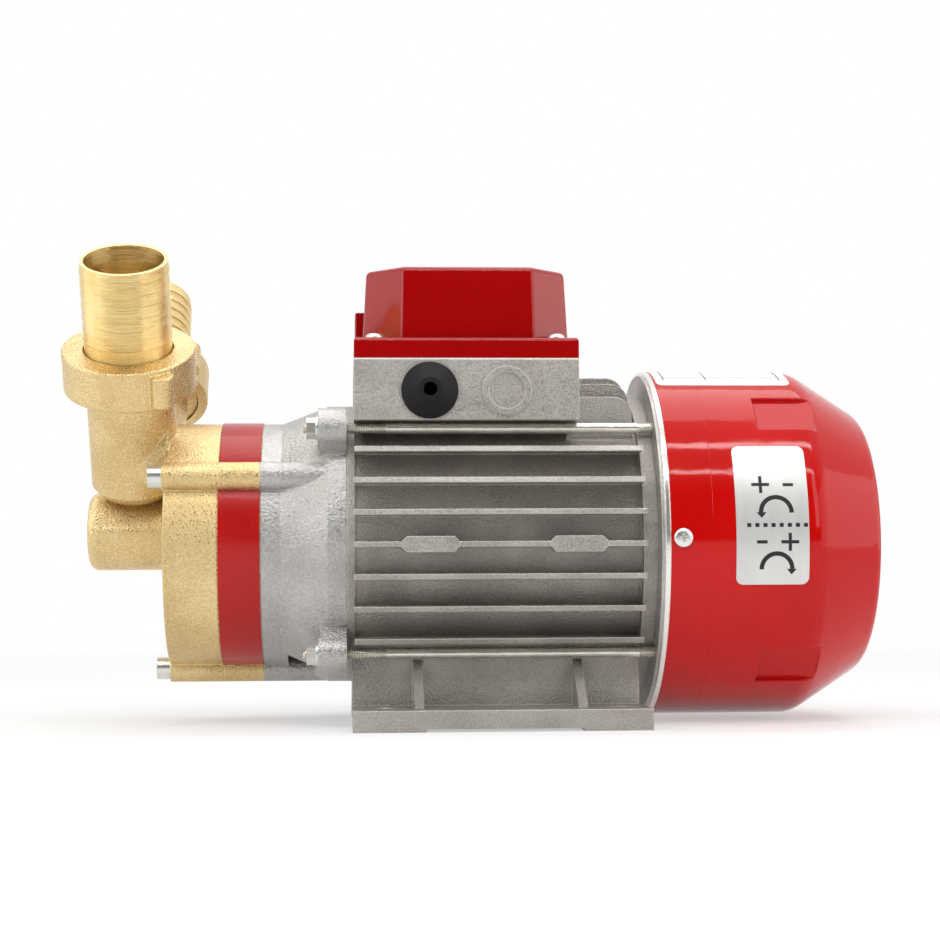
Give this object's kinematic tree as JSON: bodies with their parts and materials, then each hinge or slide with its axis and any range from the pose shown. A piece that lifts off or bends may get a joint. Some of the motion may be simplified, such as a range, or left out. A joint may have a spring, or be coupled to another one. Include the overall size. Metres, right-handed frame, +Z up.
{
  "type": "electric pump",
  "caption": "Horizontal electric transfer pump: brass wet end with barbed hose unions, finned motor on feet, terminal box with reversing switch, round fan cover.",
  "frame": {"origin": "centre of the four foot holes on the mounting plane", "axes": "+X along the shaft towards the fan, +Z up, -Y towards the cable entry side"},
  "size_m": [0.3535, 0.16, 0.2082],
  "materials": {
    "cast_frame": "sand-cast aluminium, tumbled, bare",
    "cast_bracket": "sand-cast aluminium with a turned ring",
    "shield_alu": "cast aluminium with a bright turned rim",
    "cast_brass": "sand-cast brass, matte, with turned faces",
    "turned_brass": "turned brass, satin",
    "red_paint": "red band, satin",
    "zinc_steel": "zinc-plated steel",
    "shaft_steel": "ground stainless steel",
    "core_steel": "stacked electrical steel sheet",
    "cage_alu": "die-cast aluminium",
    "copper": "enamelled copper winding, varnished",
    "bearing_steel": "polished bearing steel",
    "cage_brass": "pressed brass",
    "impeller_brass": "cast and turned brass",
    "seal_face": "ceramic seal face",
    "black_rubber": "black rubber",
    "white_gasket": "pale gasket sheet",
    "red_plastic": "red gloss plastic",
    "black_plastic": "black moulded plastic",
    "capacitor_case": "pale plastic case",
    "contact_brass": "machined brass",
    "red_wire": "insulated motor lead",
    "blue_wire": "insulated switch lead",
    "grey_wire": "insulated capacitor lead",
    "label_foil": "silver foil label with dark signs and arrows",
    "plate_foil": "pale blank label"
  },
  "bodies": {
    "housing": {"motor_frame": "cast_frame", "rear_shield": "shield_alu", "pump_bracket": "cast_bracket", "casing_ring": "cast_brass", "pump_cover": "cast_brass", "red_band": "red_paint", "casing_oring": "black_rubber", "pump_bolts": "zinc_steel", "tie_rods": "zinc_steel", "tie_rod_nuts": "zinc_steel", "tie_rod_washers": "zinc_steel", "stator_core": "core_steel", "stator_windings": "copper", "motor_leads": "red_wire", "switch_leads": "blue_wire", "capacitor_leads": "grey_wire", "front_bearing_outer": "bearing_steel", "rear_bearing_outer": "bearing_steel", "wave_washer": "shaft_steel", "seal_seat": "seal_face", "fan_cover": "red_plastic", "fan_cover_screws": "zinc_steel", "box_gasket": "white_gasket", "box_cover": "red_plastic", "box_cover_screws": "zinc_steel", "cable_grommet": "black_rubber", "terminal_block": "black_plastic", "terminal_studs": "contact_brass", "capacitor": "capacitor_case", "earth_screw": "contact_brass", "switch_body": "black_plastic", "near_port_gasket": "black_rubber", "far_port_gasket": "black_rubber", "rotation_label": "label_foil", "rating_plate": "plate_foil"},
    "rotor": {"motor_shaft": "shaft_steel", "rotor_core": "core_steel", "rotor_cage": "cage_alu", "impeller": "impeller_brass", "impeller_key": "shaft_steel", "impeller_nut": "shaft_steel", "seal_head": "shaft_steel", "slinger": "black_rubber", "front_bearing_inner": "bearing_steel", "rear_bearing_inner": "bearing_steel", "cooling_fan": "black_plastic", "fan_clip": "shaft_steel"},
    "front_balls": {"front_bearing_balls": "bearing_steel", "front_bearing_cage": "cage_brass"},
    "rear_balls": {"rear_bearing_balls": "bearing_steel", "rear_bearing_cage": "cage_brass"},
    "near_tail": {"near_hose_tail": "turned_brass"},
    "near_nut": {"near_ring_nut": "turned_brass"},
    "far_tail": {"far_hose_tail": "turned_brass"},
    "far_nut": {"far_ring_nut": "turned_brass"},
    "rocker": {"switch_rocker": "black_plastic"}
  },
  "joints": [
    {"name": "rotor_spin", "type": "hinge", "parent": "housing", "child": "rotor", "pos_m": [0, 0, 0.08], "axis": [1, 0, 0], "continuous": true},
    {"name": "front_balls_spin", "type": "hinge", "parent": "housing", "child": "front_balls", "pos_m": [-0.0717, 0, 0.08], "axis": [1, 0, 0], "continuous": true},
    {"name": "rear_balls_spin", "type": "hinge", "parent": "housing", "child": "rear_balls", "pos_m": [0.0726, 0, 0.08], "axis": [1, 0, 0], "continuous": true},
    {"name": "near_tail_lift", "type": "slide", "parent": "housing", "child": "near_tail", "axis": [0, -0.5075, 0.8616], "range_m": [0, 0.00925]},
    {"name": "near_nut_turn", "type": "hinge", "parent": "near_tail", "child": "near_nut", "pos_m": [-0.1596, -0.03888, 0.156], "axis": [0, -0.5075, 0.8616], "range_deg": [0, 1440]},
    {"name": "far_tail_lift", "type": "slide", "parent": "housing", "child": "far_tail", "axis": [0, 0.5075, 0.8616], "range_m": [0, 0.00925]},
    {"name": "far_nut_turn", "type": "hinge", "parent": "far_tail", "child": "far_nut", "pos_m": [-0.1596, 0.03888, 0.156], "axis": [0, 0.5075, 0.8616], "range_deg": [0, 1440]},
    {"name": "switch_tilt", "type": "hinge", "parent": "housing", "child": "rocker", "pos_m": [-0.057, 0, 0.1753], "axis": [0, 0, 1], "range_deg": [-10, 10]}
  ],
  "couplings": [
    {"joint": "front_balls_spin", "follows": "rotor_spin", "ratio": 0.3807},
    {"joint": "rear_balls_spin", "follows": "rotor_spin", "ratio": 0.3807},
    {"joint": "near_tail_lift", "follows": "near_nut_turn", "m_per_rad": 0.00036757},
    {"joint": "far_tail_lift", "follows": "far_nut_turn", "m_per_rad": 0.00036757}
  ]
}
